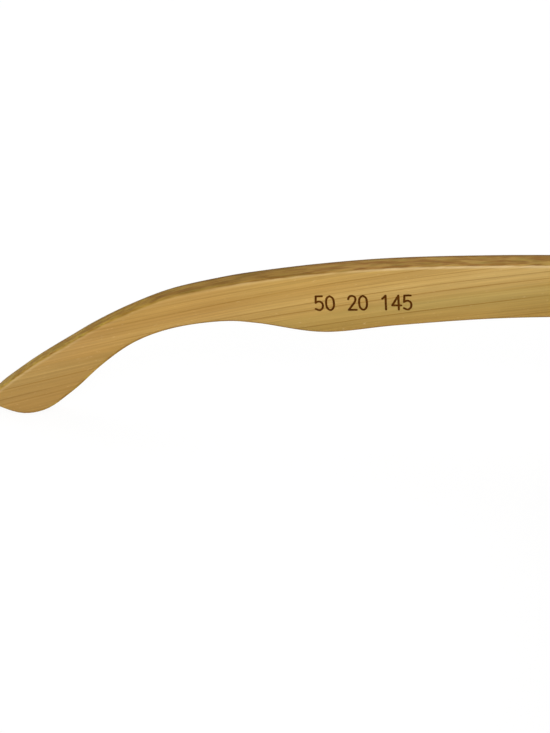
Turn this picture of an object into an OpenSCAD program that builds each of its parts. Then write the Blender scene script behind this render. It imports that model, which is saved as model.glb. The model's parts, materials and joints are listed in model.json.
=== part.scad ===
// Wooden sunglasses with spring hinges, in millimetres.
// The front looks towards -Y, the temples run towards +Y, and the wearer's left is +X.
// The rims and the ear tips stand on the plane z = 0, and the origin is the middle of the footprint.

/* [Front] */
// Width of the front from end piece to end piece
front_w = 144; // [140:1:150]
// Thickness of the bent wood
front_t = 4.8; // [4.4:0.2:5.6]
// Radius of the wrap of the front's outer face
front_curve_r = 240; // [220:10:300]
// Width of the rim above the lens
rim_top = 5.4; // [4.6:0.2:6.4]
// Width of the rim below the lens
rim_bottom = 4.6; // [4:0.2:5.4]
// Width of the rim on the nose side
rim_nasal = 3.4; // [3:0.2:4.2]
// Width of the rim on the temple side
rim_temporal = 5; // [4.4:0.2:5.6]
// How far the curve of the rim is cut away to make the flat foot
foot_cut = 0.3; // [0.2:0.05:0.5]
// Height of the bridge between the rims
bridge_h = 11.4; // [10:0.2:13]
// Drop of the bridge below the brow line
bridge_drop = 5.8; // [4.6:0.2:6.6]
// Radius of the blends in the nose arch
nose_blend_r = 5; // [4:0.25:5.5]
// Radius of the blends along the brow
brow_blend_r = 22; // [14:1:28]
// Radius of the blends below the end pieces
side_blend_r = 13; // [8:1:16]
// Height of the end piece that carries the hinge
endpiece_h = 13; // [12:0.5:14]
// Radius of the end piece's corners
endpiece_r = 2.4; // [1.5:0.1:3.5]
// Depth from the brow to the back of the end piece
endpiece_back = 18; // [17.6:0.2:19.4]
// Wood left between the lens opening and the block behind the end piece
lug_margin = 1; // [0.8:0.1:1.2]

/* [Lenses] */
// Width of a lens opening
lens_w = 50; // [48:0.5:51]
// Height of a lens opening
lens_h = 38; // [35:0.5:41]
// Distance between the lens openings
bridge_w = 20; // [18:0.5:21]
// Thickness of the bent lens sheet
lens_t = 1.2; // [1:0.1:1.6]
// Depth of the groove that holds the lens
groove_depth = 0.9; // [0.7:0.1:1.1]
// Clearance between lens and groove, on every side
lens_clear = 0.08; // [0.04:0.02:0.14]
// Squareness of the lens shape: 2 is an ellipse
lens_square = 2.8; // [2.3:0.1:3.2]
// How much wider the top of the lens is than its middle
lens_taper = 0.09; // [0.04:0.01:0.12]
// How far the outer top corner is drawn up
lens_lift = 1.8; // [0:0.2:2.4]

/* [Nose pads] */
// Radius of a nose pad
pad_r = 3.2; // [2.8:0.1:3.6]
// Distance between the round ends of a pad
pad_len = 12; // [10:0.5:14]
// Height of the pad's upper round end above the table
pad_top = 27; // [25:0.5:29]
// How far the middle of a pad stands behind the rim
pad_out = 1.6; // [1:0.1:2.4]
// How much a pad leans out towards its lower end, in degrees
pad_splay = 14; // [8:1:20]

/* [Temples] */
// Length of a temple from the butt to the tip
temple_len = 143.7; // [134:0.1:150]
// Height of a temple at the hinge
temple_root_h = 10.6; // [10:0.1:11.6]
// Height of a temple at its belly
temple_belly_h = 12.9; // [12:0.1:14]
// Height of a temple at its waist
temple_waist_h = 6.7; // [6:0.1:7.6]
// Height of the ear tip at its widest place
temple_tip_h = 11.5; // [10:0.1:12.5]
// Distance of the belly from the tip
belly_at = 69.7; // [66:0.5:74]
// Distance of the waist from the tip
waist_at = 40; // [38:0.5:42]
// How far the tip lies below the line of the hinge
ear_drop = 22.2; // [18:0.2:26]
// Thickness of the wood at the hinge
temple_root_t = 4.2; // [4:0.1:4.6]
// Thickness of the wood at the tip
temple_tip_t = 4.2; // [3.6:0.1:4.4]
// Where the temple starts to bend towards the head
bend_from = 50; // [46:1:60]
// Radius of the bend towards the head
bend_r = 640; // [600:20:900]
// Tilt of the temples against the front, in degrees
pitch = 5; // [3:0.5:7]
// How far the outer face of a temple lies inside the end of the front
temple_inset = 1; // [0.6:0.1:1.4]
// Gap between the end piece and the butt of a temple
butt_gap = 0.12; // [0.08:0.02:0.2]

/* [Hinge] */
// Distance of the hinge screw from the inner face of the temple
pivot_inset = 1; // [0.9:0.05:1.1]
// Distance of the hinge screw from the back of the end piece
pivot_back = 2.2; // [2.1:0.05:2.4]
// Radius of the knuckles
knuckle_r = 1.55; // [1.4:0.05:1.7]
// Height of one knuckle
knuckle_h = 1.5; // [1.3:0.05:1.6]
// Gap between two knuckles
knuckle_gap = 0.05; // [0.03:0.01:0.1]
// Radius of the hinge screw
pin_r = 0.7; // [0.6:0.05:0.8]
// Running clearance between a screw or rod and its hole
run_clear = 0.03; // [0.02:0.01:0.06]
// Radius of the hinge screw's head
pin_head_r = 1.15; // [1:0.05:1.3]
// Height of the hinge screw's head
pin_head_h = 0.7; // [0.5:0.05:0.9]
// Thickness of the hinge leaves
leaf_t = 0.9; // [0.8:0.05:1]
// Height of the front leaf
front_leaf_h = 10.8; // [10.4:0.1:11]
// Width of the front leaf towards the nose, from the hinge screw
front_leaf_in = 4.2; // [4:0.1:4.3]
// Width of the front leaf towards the temple, from the hinge screw
front_leaf_out = 0.75; // [0.6:0.05:0.85]
// Clearance of a leaf in its recess
recess_clear = 0.05; // [0.03:0.01:0.1]
// Clearance between the knuckles and the hollow in the temple
hollow_clear = 0.3; // [0.25:0.05:0.4]
// How far the temple can be pulled off the hinge against its spring
flex_travel = 1; // [0.8:0.1:1]

/* [Spring] */
// Radius of the spring barrel
barrel_r = 1.7; // [1.6:0.05:1.9]
// Length of the spring barrel
barrel_len = 12; // [11.5:0.1:13]
// Distance of the barrel's mouth from the hinge screw
barrel_from = 4.2; // [4:0.1:4.6]
// Radius of the bore in the barrel
bore_r = 1.15; // [1.1:0.05:1.25]
// Wood depth that the barrel is sunk into the temple
barrel_sink = 1.2; // [1.1:0.05:1.4]
// Height of the leaf that carries the barrel
housing_leaf_h = 4.8; // [4.4:0.1:5.2]
// Length of that leaf, from the barrel's mouth
housing_leaf_len = 19.4; // [19:0.1:20.5]
// Radius of the sliding rod
rod_r = 0.45; // [0.4:0.05:0.5]
// Width of the slider's shank
shank_w = 1.5; // [1.3:0.05:1.6]
// Length of the guide bush
bush_len = 1.8; // [1.5:0.1:2]
// Press clearance of the bush in the bore
bush_clear = 0.01; // [0.01:0.01:0.02]
// Radius of the rod nut
nut_r = 1; // [0.9:0.05:1.05]
// Length of the rod nut
nut_len = 1; // [0.8:0.1:1.2]
// Radius of the spring wire
wire_r = 0.14; // [0.12:0.01:0.16]
// Mean radius of the spring's curls
curl_r = 0.8; // [0.78:0.01:0.85]
// Number of curls
curls = 9; // [7:1:9]
// Length of the fitted spring
spring_len = 7.1; // [7:0.1:7.5]

/* [Wood screws] */
// Radius of a wood screw's shank
screw_r = 0.5; // [0.45:0.05:0.6]
// Radius of a wood screw's head
screw_head_r = 1.1; // [1:0.05:1.2]
// Height of a wood screw's countersunk head
screw_head_h = 0.6; // [0.5:0.05:0.7]
// Length of the screws in the front
front_screw_len = 4.8; // [4:0.1:5.5]
// Length of the screws in a temple
temple_screw_len = 2.9; // [2.4:0.1:3]
// Distance of the front screws from the middle of the hinge
front_screw_at = 3.9; // [3.8:0.05:4]
// Distance between the two screws of a temple
temple_screw_gap = 3.2; // [2.8:0.1:3.4]

/* [Hidden] */
$fn = 48;
eps = 0.01;

// Smooth curve through a list of points: each span takes its slopes from the neighbouring points.
span_steps = 5;
function slope(p, i) = (p[min(i + 1, len(p) - 1)] - p[max(i - 1, 0)]) / 2;
function hermite(p, i, t) =
  (2*t*t*t - 3*t*t + 1)*p[i] + (t*t*t - 2*t*t + t)*slope(p, i)
  + (3*t*t - 2*t*t*t)*p[i + 1] + (t*t*t - t*t)*slope(p, i + 1);
function smooth(p) = concat(
  [for (i = [0 : len(p) - 2], k = [0 : span_steps - 1]) hermite(p, i, k / span_steps)],
  [p[len(p) - 1]]);

// Stations of a temple: distance from the tip, height of the top edge, depth of wood below it.
root_top = temple_root_h / 2;
belly_top = root_top - 1.15;
neck = belly_at - waist_at;
hook = temple_tip_h - temple_waist_h;
stations = [
  [temple_len, root_top, temple_root_h],
  [temple_len*0.86, root_top + 0.2, temple_root_h + 0.1],
  [temple_len*0.72, root_top + 0.3, temple_root_h + 0.7],
  [belly_at + 14.3, root_top - 0.15, temple_belly_h - 0.4],
  [belly_at, belly_top, temple_belly_h],
  [waist_at + neck*0.57, belly_top - 1.37, temple_waist_h + 2.55],
  [waist_at + neck*0.33, belly_top - 2.43, temple_waist_h + 0.85],
  [waist_at, -0.014*ear_drop, temple_waist_h],
  [waist_at*0.79, -0.149*ear_drop, temple_waist_h],
  [waist_at*0.6, -0.306*ear_drop, temple_waist_h + 0.365*hook],
  [waist_at*0.4425, -0.462*ear_drop, temple_waist_h + 0.823*hook],
  [waist_at*0.2925, -0.615*ear_drop, temple_tip_h],
  [waist_at*0.16, -0.764*ear_drop, temple_tip_h*0.793],
  [waist_at*0.0475, -0.901*ear_drop, temple_tip_h*0.36]
];
last = len(stations) - 1;
upper_edge = [for (i = [0 : last]) [temple_len - stations[i][0], stations[i][1]]];
lower_edge = [for (i = [last : -1 : 0]) [temple_len - stations[i][0], stations[i][1] - stations[i][2]]];
temple_edge = smooth(concat(upper_edge, [[temple_len, -ear_drop]], lower_edge));

// The hinge stands as high as the tilted temple reaches down, so that the ear tips touch the table.
hinge_z = -min([for (p = temple_edge) p[1]*cos(pitch) - (p[0] - pivot_back)*sin(pitch)]);
tip_reach = max([for (p = temple_edge) (p[0] - pivot_back)*cos(pitch) + p[1]*sin(pitch)]);

// Place of the hinge screw, with the origin in the middle of the whole depth
pivot_x = front_w/2 - temple_inset - temple_root_t - pivot_inset;
pivot_from_brow = endpiece_back + pivot_back*cos(pitch);
front_y = -(pivot_from_brow + tip_reach) / 2;
pivot_y = front_y + pivot_from_brow;
butt = -pivot_back + butt_gap;
echo(hinge_screw_at = [pivot_x, pivot_y, hinge_z]);

// Lens and rim shapes
lens_x = (bridge_w + lens_w) / 2;
lens_z = rim_bottom + lens_h/2;
front_h = rim_bottom + lens_h + rim_top;
shape_points = 72;
function power(v, e) = sign(v)*pow(abs(v), e);
function lens_shape(a, b) = [for (i = [0 : shape_points - 1])
  let (q = 360*i/shape_points, ex = power(cos(q), 2/lens_square), ez = power(sin(q), 2/lens_square))
  [a*ex*(1 + lens_taper*ez), b*ez + lens_lift*ex*(1 + ez)/2]];
lens_mid_r = front_curve_r - front_t/2;

// Hinge stack
eye_top = knuckle_h / 2;
knuckle_low = eye_top + knuckle_gap;
knuckle_top = knuckle_low + knuckle_h;
screw_a = -front_leaf_in/2 - 0.1;
screw_b2 = barrel_from + housing_leaf_len - 1.9;
screw_b1 = screw_b2 - temple_screw_gap;
nut_from = barrel_from + bush_len + spring_len + 0.04;
rod_end = nut_from + nut_len;
shank_end = barrel_from - 0.6;

// Places a left-hand piece at its hinge, and mirrors it for the right-hand one.
module at_hinge(side) {
  mirror([side < 0 ? 1 : 0, 0, 0])
    translate([pivot_x, pivot_y, hinge_z])
      rotate([-pitch, 0, 0])
        children();
}

// Mirrors a left-hand piece for the right-hand side.
module on_side(side) {
  mirror([side < 0 ? 1 : 0, 0, 0]) children();
}

// Draws a shape of the front view through the whole depth of the front.
module through_front() {
  translate([0, front_y + 60, 0])
    rotate([90, 0, 0])
      linear_extrude(height = 100)
        children();
}

// Upright drum about the centre of the front's wrap.
module wrap(r) {
  translate([0, front_y + front_curve_r, -20])
    cylinder(r = r, h = 120, $fn = 360);
}

// Lens outline of the left side in the front view, grown by a margin.
module lens_outline(grow) {
  translate([lens_x, lens_z])
    polygon(lens_shape(lens_w/2 + grow, lens_h/2 + grow));
}

// Outer outline of the left rim in the front view.
module rim_outline() {
  translate([lens_x + (rim_temporal - rim_nasal)/2, (front_h - foot_cut)/2])
    polygon(lens_shape((lens_w + rim_nasal + rim_temporal)/2, (front_h + foot_cut)/2));
}

// End piece of the left side in the front view.
module endpiece_outline() {
  from_x = lens_x + lens_w/4;
  translate([from_x + endpiece_r, hinge_z - endpiece_h/2 + endpiece_r])
    offset(r = endpiece_r, $fn = 24)
      square([front_w/2 - from_x - 2*endpiece_r, endpiece_h - 2*endpiece_r]);
}

// Bridge in the front view: a hollow curve above and a nose arch below.
module bridge_outline() {
  half = bridge_w*0.9;
  across = [-half : half/8 : half];
  top_z = front_h - bridge_drop;
  polygon(concat(
    [for (x = across) [x, top_z + 0.0075*x*x]],
    [for (x = across) [-x, top_z - bridge_h - 0.05*min(x*x, 60)]]));
}

// Rims, end pieces and bridge, still with sharp corners between them.
module front_pieces() {
  for (side = [-1, 1])
    mirror([side < 0 ? 1 : 0, 0]) {
      rim_outline();
      endpiece_outline();
    }
  bridge_outline();
}

// Fills the inner corners of a flat shape with round blends.
module blended(r) {
  offset(r = -r, $fn = 48)
    offset(delta = r)
      children();
}

// Joins flat shapes and takes away what is thinner than a few hundredths where they meet.
module drop_slivers() {
  offset(delta = -0.03)
    offset(delta = 0.06)
      offset(delta = -0.03)
        children();
}

// Outer outline of the whole front: small blends at the nose, wide ones at the brow and the sides.
module front_outline() {
  intersection() {
    drop_slivers() {
      blended(nose_blend_r) front_pieces();
      blended(brow_blend_r)
        intersection() {
          front_pieces();
          translate([-front_w, hinge_z])
            square([2*front_w, front_h]);
        }
      for (side = [-1, 1])
        mirror([side < 0 ? 1 : 0, 0])
          blended(side_blend_r)
            intersection() {
              front_pieces();
              translate([lens_x, -10])
                square([front_w, hinge_z + 10]);
            }
    }
    translate([-front_w, 0])
      square([2*front_w, 2*front_h]);
  }
}

// Block behind an end piece, in the frame of the hinge: it widens forwards, inwards and downwards.
module lug() {
  inner = lens_x + lens_w/2 + lug_margin - pivot_x;
  low = -endpiece_h/2;
  intersection() {
    translate([0, 0, -30])
      linear_extrude(height = 60)
        polygon([[inner, -pivot_back], [20, -pivot_back], [20, -30], [inner - 6, -30]]);
    translate([-30, 0, 0])
      rotate([90, 0, 90])
        linear_extrude(height = 60)
          polygon([[-pivot_back, low], [-pivot_back, 30], [-30, 30], [-30, low - 14]]);
  }
}

// Recess and screw holes for the front leaf, in the frame of the hinge.
module front_leaf_recess() {
  translate([-front_leaf_in - recess_clear, -pivot_back - leaf_t - recess_clear,
             -front_leaf_h/2 - recess_clear])
    cube([front_leaf_in + front_leaf_out + 2*recess_clear, leaf_t + 2, front_leaf_h + 2*recess_clear]);
  for (c = [-front_screw_at, front_screw_at])
    translate([screw_a, -pivot_back, c])
      rotate([90, 0, 0])
        cylinder(r = screw_r + run_clear, h = front_screw_len + 0.2);
}

module front_frame() {
  color("BurlyWood")
    difference() {
      intersection() {
        through_front() front_outline();
        wrap(front_curve_r);
        union() {
          difference() {
            translate([-100, front_y - 5, -10])
              cube([200, 60, 80]);
            wrap(front_curve_r - front_t);
          }
          for (side = [-1, 1])
            at_hinge(side) lug();
        }
      }
      for (side = [-1, 1]) {
        on_side(side)
          through_front() lens_outline(0);
        on_side(side)
          intersection() {
            through_front() lens_outline(groove_depth);
            difference() {
              wrap(lens_mid_r + lens_t/2 + lens_clear);
              wrap(lens_mid_r - lens_t/2 - lens_clear);
            }
          }
        at_hinge(side) front_leaf_recess();
      }
    }
}

module lens(side) {
  color("DarkSlateGray")
    on_side(side)
      intersection() {
        through_front() lens_outline(groove_depth - lens_clear);
        difference() {
          wrap(lens_mid_r + lens_t/2);
          wrap(lens_mid_r - lens_t/2);
        }
      }
}

// A pad is a round-ended bar that leans along the side of the nose, cut to the back of the rim.
module nose_pad(side) {
  top_x = bridge_w/2 - rim_nasal/2 - 0.2;
  back_y = front_y + front_t + pad_out;
  color("Peru")
    on_side(side)
      intersection() {
        hull() {
          translate([top_x, back_y, pad_top])
            sphere(r = pad_r, $fn = 32);
          translate([top_x + pad_len*sin(pad_splay), back_y + 1, pad_top - pad_len*cos(pad_splay)])
            sphere(r = pad_r, $fn = 32);
        }
        wrap(front_curve_r - front_t);
      }
}

// Countersunk screw that points along +Z, with its head flush at z = 0 and a cross in the head.
module wood_screw(length) {
  difference() {
    union() {
      cylinder(r1 = screw_head_r, r2 = screw_r, h = screw_head_h);
      cylinder(r = screw_r, h = length);
    }
    for (turn = [0, 90])
      rotate([0, 0, turn])
        translate([-screw_head_r*0.65, -0.12, -eps])
          cube([screw_head_r*1.3, 0.24, 0.3]);
  }
}

// Hole for a countersunk screw in a leaf, along +Z.
module screw_hole() {
  translate([0, 0, -eps])
    cylinder(r1 = screw_head_r + run_clear, r2 = screw_r + run_clear, h = screw_head_h + eps);
  cylinder(r = screw_r + run_clear, h = leaf_t + 1);
}

module front_hinge_leaf(side) {
  color("Goldenrod")
    at_hinge(side)
      difference() {
        union() {
          translate([-front_leaf_in, -pivot_back - leaf_t, -front_leaf_h/2])
            cube([front_leaf_in + front_leaf_out, leaf_t, front_leaf_h]);
          for (c = [-knuckle_top, knuckle_low]) {
            translate([0, 0, c])
              cylinder(r = knuckle_r, h = knuckle_h);
            translate([-knuckle_r, -pivot_back - leaf_t/2, c])
              cube([knuckle_r + front_leaf_out, pivot_back + leaf_t/2, knuckle_h]);
          }
        }
        translate([0, 0, -10])
          cylinder(r = pin_r + run_clear, h = 20);
        for (c = [-front_screw_at, front_screw_at])
          translate([screw_a, -pivot_back, c])
            rotate([90, 0, 0])
              screw_hole();
      }
}

module front_leaf_screws(side) {
  color("Silver")
    at_hinge(side)
      for (c = [-front_screw_at, front_screw_at])
        translate([screw_a, -pivot_back, c])
          rotate([90, 0, 0])
            wood_screw(front_screw_len);
}

module hinge_screw(side) {
  color("Silver")
    at_hinge(side)
      difference() {
        union() {
          translate([0, 0, -knuckle_top])
            cylinder(r = pin_r, h = 2*knuckle_top + eps);
          translate([0, 0, knuckle_top])
            cylinder(r = pin_head_r, h = pin_head_h);
        }
        translate([-pin_head_r, -0.15, knuckle_top + pin_head_h - 0.3])
          cube([2*pin_head_r, 0.3, 1]);
      }
}

module hinge_slider(side) {
  color("Gold")
    at_hinge(side)
      difference() {
        union() {
          translate([0, 0, -eye_top])
            cylinder(r = knuckle_r, h = knuckle_h);
          translate([-shank_w/2, 0, -shank_w/2])
            cube([shank_w, shank_end, shank_w]);
          translate([0, shank_end - 0.5, 0])
            rotate([-90, 0, 0])
              cylinder(r = rod_r, h = rod_end - shank_end + 0.5);
        }
        translate([0, 0, -10])
          cylinder(r = pin_r + run_clear, h = 20);
      }
}

module spring_bush(side) {
  color("DarkKhaki")
    at_hinge(side)
      translate([0, barrel_from, 0])
        rotate([-90, 0, 0])
          difference() {
            cylinder(r = bore_r - bush_clear, h = bush_len);
            translate([0, 0, -1])
              cylinder(r = rod_r + run_clear, h = bush_len + 2);
          }
}

module rod_nut(side) {
  color("LightSlateGray")
    at_hinge(side)
      translate([0, nut_from, 0])
        rotate([-90, 0, 0])
          difference() {
            cylinder(r = nut_r, h = nut_len);
            translate([0, 0, -1])
              cylinder(r = rod_r + 0.01, h = nut_len + 2);
          }
}

// Middle line of the spring wire, and the least gap between its curls.
curl_steps = 8;
wire_rise = spring_len - 2*wire_r;
wire_line = [for (i = [0 : curls*curl_steps])
  let (q = 360*i/curl_steps)
  [curl_r*cos(q), wire_r + wire_rise*i/(curls*curl_steps), curl_r*sin(q)]];
wire_gap = min([for (i = [0 : len(wire_line) - 1], k = [0 : len(wire_line) - 1])
  if (k > i + curl_steps/2) norm(wire_line[i] - wire_line[k])]) - 2*wire_r;
echo(spring_least_gap = wire_gap);

module flex_spring(side) {
  sides = 6;
  rings = len(wire_line);
  points = [for (i = [0 : rings - 1], s = [0 : sides - 1])
    let (q = 360*i/curl_steps, w = 360*s/sides, r = curl_r + wire_r*cos(w))
    [r*cos(q), wire_line[i][1] + wire_r*sin(w), r*sin(q)]];
  skin = [for (i = [0 : rings - 2], s = [0 : sides - 1])
    let (n = (s + 1) % sides)
    [i*sides + s, (i + 1)*sides + s, (i + 1)*sides + n, i*sides + n]];
  ends = [[for (s = [0 : sides - 1]) s], [for (s = [sides - 1 : -1 : 0]) (rings - 1)*sides + s]];
  color("DimGray")
    translate([side*pivot_x, pivot_y, hinge_z])
      rotate([-pitch, 0, 0])
        translate([0, barrel_from + bush_len + 0.02, 0])
          polyhedron(points = points, faces = concat(skin, ends));
}

module spring_housing(side) {
  color("Goldenrod")
    at_hinge(side)
      difference() {
        union() {
          translate([0, barrel_from, 0])
            rotate([-90, 0, 0])
              cylinder(r = barrel_r, h = barrel_len);
          translate([0, barrel_from, -barrel_r])
            cube([pivot_inset + barrel_sink, barrel_len, 2*barrel_r]);
          translate([pivot_inset, barrel_from, -housing_leaf_h/2])
            cube([leaf_t, housing_leaf_len - housing_leaf_h/2, housing_leaf_h]);
          translate([pivot_inset, barrel_from + housing_leaf_len - housing_leaf_h/2, 0])
            rotate([0, 90, 0])
              cylinder(r = housing_leaf_h/2, h = leaf_t);
        }
        translate([0, barrel_from - 1, 0])
          rotate([-90, 0, 0])
            cylinder(r = bore_r, h = rod_end - barrel_from + 1.9);
        for (b = [screw_b1, screw_b2])
          translate([pivot_inset, b, 0])
            rotate([0, 90, 0])
              screw_hole();
      }
}

module housing_screws(side) {
  color("Silver")
    at_hinge(side)
      for (b = [screw_b1, screw_b2])
        translate([pivot_inset, b, 0])
          rotate([0, 90, 0])
            wood_screw(temple_screw_len);
}

// Plan of a temple: the inner face bends towards the head, and the wood thins towards the tip.
plan_steps = 20;
function bend(u) = u < bend_from ? 0 : bend_r - sqrt(bend_r*bend_r - pow(u - bend_from, 2));
function thick(u) = temple_root_t + (temple_tip_t - temple_root_t)*u/temple_len;
plan_at = concat([-2], [for (i = [0 : plan_steps])
  bend_from + (temple_len + 2 - bend_from)*i/plan_steps]);

// Hollows for the hinge and its screws in the inner face of a temple.
module temple_hollows() {
  hull()
    for (pull = [0, flex_travel])
      translate([0, -pull, -knuckle_top - hollow_clear])
        cylinder(r = knuckle_r + hollow_clear, h = 2*knuckle_top + pin_head_h + 2*hollow_clear);
  translate([0, barrel_from - recess_clear, -barrel_r - recess_clear])
    cube([pivot_inset + barrel_sink + recess_clear, barrel_len + 2*recess_clear,
          2*barrel_r + 2*recess_clear]);
  translate([0, barrel_from - recess_clear, -housing_leaf_h/2 - recess_clear])
    cube([pivot_inset + leaf_t + recess_clear,
          housing_leaf_len - housing_leaf_h/2 + recess_clear, housing_leaf_h + 2*recess_clear]);
  translate([0, barrel_from + housing_leaf_len - housing_leaf_h/2, 0])
    rotate([0, 90, 0])
      cylinder(r = housing_leaf_h/2 + recess_clear, h = pivot_inset + leaf_t + recess_clear);
  for (b = [screw_b1, screw_b2])
    translate([pivot_inset, b, 0])
      rotate([0, 90, 0])
        cylinder(r = screw_r + run_clear, h = temple_screw_len + 0.1);
}

module temple(side) {
  inner = [for (u = plan_at) [pivot_inset - bend(u), u - pivot_back]];
  outer = [for (i = [len(plan_at) - 1 : -1 : 0])
    let (u = plan_at[i])
    [pivot_inset - bend(u) + thick(u), u - pivot_back]];
  edge = [for (p = temple_edge) [max(p[0] - pivot_back, butt), p[1]]];
  color("BurlyWood")
    at_hinge(side)
      difference() {
        intersection() {
          translate([-30, 0, 0])
            rotate([90, 0, 90])
              linear_extrude(height = 60)
                polygon(edge);
          translate([0, 0, -60])
            linear_extrude(height = 120)
              polygon(concat(inner, outer));
        }
        temple_hollows();
      }
}

front_frame();
lens(1);  // left_lens
lens(-1);  // right_lens
nose_pad(1);  // left_nose_pad
nose_pad(-1);  // right_nose_pad
front_hinge_leaf(1);  // left_front_hinge_leaf
front_hinge_leaf(-1);  // right_front_hinge_leaf
front_leaf_screws(1);  // left_front_leaf_screws
front_leaf_screws(-1);  // right_front_leaf_screws
hinge_screw(1);  // left_hinge_screw
hinge_screw(-1);  // right_hinge_screw
hinge_slider(1);  // left_hinge_slider
hinge_slider(-1);  // right_hinge_slider
rod_nut(1);  // left_rod_nut
rod_nut(-1);  // right_rod_nut
spring_bush(1);  // left_spring_bush
spring_bush(-1);  // right_spring_bush
flex_spring(1);  // left_flex_spring
flex_spring(-1);  // right_flex_spring
spring_housing(1);  // left_spring_housing
spring_housing(-1);  // right_spring_housing
housing_screws(1);  // left_housing_screws
housing_screws(-1);  // right_housing_screws
temple(1);  // left_temple
temple(-1);  // right_temple
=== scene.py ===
# %% [markdown]
# # Bamboo sunglasses
# One bent bamboo front holds two tinted lenses, and two bamboo arms fold on screwed spring hinges.
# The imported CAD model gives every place, size and joint. This lesson keeps its metal and its lenses,
# and gives the wood the rounded, sanded form that a hand would feel.

# %% Load the frame
import json
import math

import bpy
import numpy as np
from mathutils import Matrix, Vector


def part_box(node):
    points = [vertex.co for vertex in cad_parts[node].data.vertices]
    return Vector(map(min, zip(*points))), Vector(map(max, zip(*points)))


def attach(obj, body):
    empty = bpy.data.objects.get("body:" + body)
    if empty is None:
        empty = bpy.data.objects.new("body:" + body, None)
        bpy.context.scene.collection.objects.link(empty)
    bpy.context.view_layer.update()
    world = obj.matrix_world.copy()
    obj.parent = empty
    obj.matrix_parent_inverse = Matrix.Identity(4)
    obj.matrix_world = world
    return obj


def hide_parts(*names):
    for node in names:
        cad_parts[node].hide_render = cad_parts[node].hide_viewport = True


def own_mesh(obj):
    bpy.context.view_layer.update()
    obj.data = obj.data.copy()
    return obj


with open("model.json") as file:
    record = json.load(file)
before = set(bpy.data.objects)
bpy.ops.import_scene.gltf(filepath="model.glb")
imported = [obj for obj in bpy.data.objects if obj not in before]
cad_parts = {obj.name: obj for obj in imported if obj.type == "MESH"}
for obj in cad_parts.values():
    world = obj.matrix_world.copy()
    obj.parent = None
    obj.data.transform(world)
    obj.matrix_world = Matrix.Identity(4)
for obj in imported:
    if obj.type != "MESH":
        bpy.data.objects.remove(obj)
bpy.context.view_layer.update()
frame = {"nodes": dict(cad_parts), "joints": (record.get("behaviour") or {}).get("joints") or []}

MM = 0.001
joints = {joint["name"]: joint for joint in frame["joints"]}

# %% [markdown]
# ## Drawing in the frame of a hinge
# An arm is easiest to draw as its maker sees it: out from the head, along the arm, and up. The two
# joints of each side give that frame, so the drawing follows the CAD if a hinge is moved. The right
# frame is the mirror image of the left one, so its faces are turned round when they are made.

# %% Hinge frames
SIGN = {"left": 1, "right": -1}


def hinge_frame(side):
    """Matrix from millimetres out, along and up at a hinge screw to metres in the row frame."""
    along = Vector(joints[f"{side}_temple_flex"]["axis"])
    out = Vector((SIGN[side], 0, 0))
    up = Vector((0, -along.z, along.y))
    place = Matrix((out * MM, along * MM, up * MM)).transposed().to_4x4()
    place.translation = Vector(joints[f"{side}_temple_fold"]["pos_m"])
    return place


hinges = {side: hinge_frame(side) for side in SIGN}
print("hinge screws:", [[round(v / MM, 2) for v in h.translation] for h in hinges.values()])

# %% [markdown]
# ## Making and carving a piece
# Every wooden piece is a closed mesh that is shaded smooth, with real corners kept sharp by angle.
# Recesses could be left out, because metal covers them, but then the wood would stand in the way of
# the knuckles when an arm folds. So they are carved with an exact Boolean, as a router would do it.

# %% Piece helpers
CORNER = math.radians(38)


def place_points(points, matrix):
    """Points in millimetres, moved by a matrix."""
    return [tuple(matrix @ Vector(p)) for p in points]


def smooth_shading(mesh):
    mesh.shade_smooth()
    mesh.set_sharp_from_angle(angle=CORNER)


def add_object(name, points, faces):
    mesh = bpy.data.meshes.new(name)
    mesh.from_pydata(points, [], [tuple(int(i) for i in face) for face in faces])
    made = bpy.data.objects.new(name, mesh)
    bpy.context.scene.collection.objects.link(made)
    return made


def add_piece(name, points, faces, body, node=None):
    """A new piece that rides on a body and may stand for a CAD node, which it hides."""
    piece = add_object(name, points, faces)
    smooth_shading(piece.data)
    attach(piece, body)
    if node:
        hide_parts(node)
    print(name, "has", len(points), "points and", len(faces), "faces")
    return piece


def prism(outline, low, high, axes=(0, 1, 2)):
    """A flat outline drawn in the first two axes and drawn out along the third."""
    points = []
    for level in (low, high):
        for p, q in outline:
            point = [0, 0, 0]
            point[axes[0]], point[axes[1]], point[axes[2]] = p, q, level
            points.append(point)
    n = len(outline)
    sides = [(i, (i + 1) % n, n + (i + 1) % n, n + i) for i in range(n)]
    return points, sides + [tuple(range(n - 1, -1, -1)), tuple(range(n, 2 * n))]


def carve(piece, points, faces):
    """Takes a closed shape out of a piece and keeps the result as its mesh."""
    cutter = add_object("cutter", points, faces)
    cut = piece.modifiers.new("carve", "BOOLEAN")
    cut.object, cut.solver = cutter, "EXACT"
    bpy.context.view_layer.update()
    result = piece.evaluated_get(bpy.context.evaluated_depsgraph_get())
    carved = bpy.data.meshes.new_from_object(result)
    piece.modifiers.clear()
    piece.data = carved
    bpy.data.objects.remove(cutter)
    smooth_shading(carved)


def mirror_faces(faces, side):
    return faces if side == "left" else [face[::-1] for face in faces]


print("corners stay sharp above", round(math.degrees(CORNER)), "degrees")

# %% [markdown]
# ## The outline of an arm
# The arm is sawn from a flat board: straight at the hinge, a belly in the lower edge, a waist over
# the ear and a hook behind it. Stations along the arm give the upper edge and the depth of the wood,
# and a smooth curve runs through them round the tip. Upper and lower edge share their stations, so
# each cross line of the mesh can run straight from one to the other.

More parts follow.
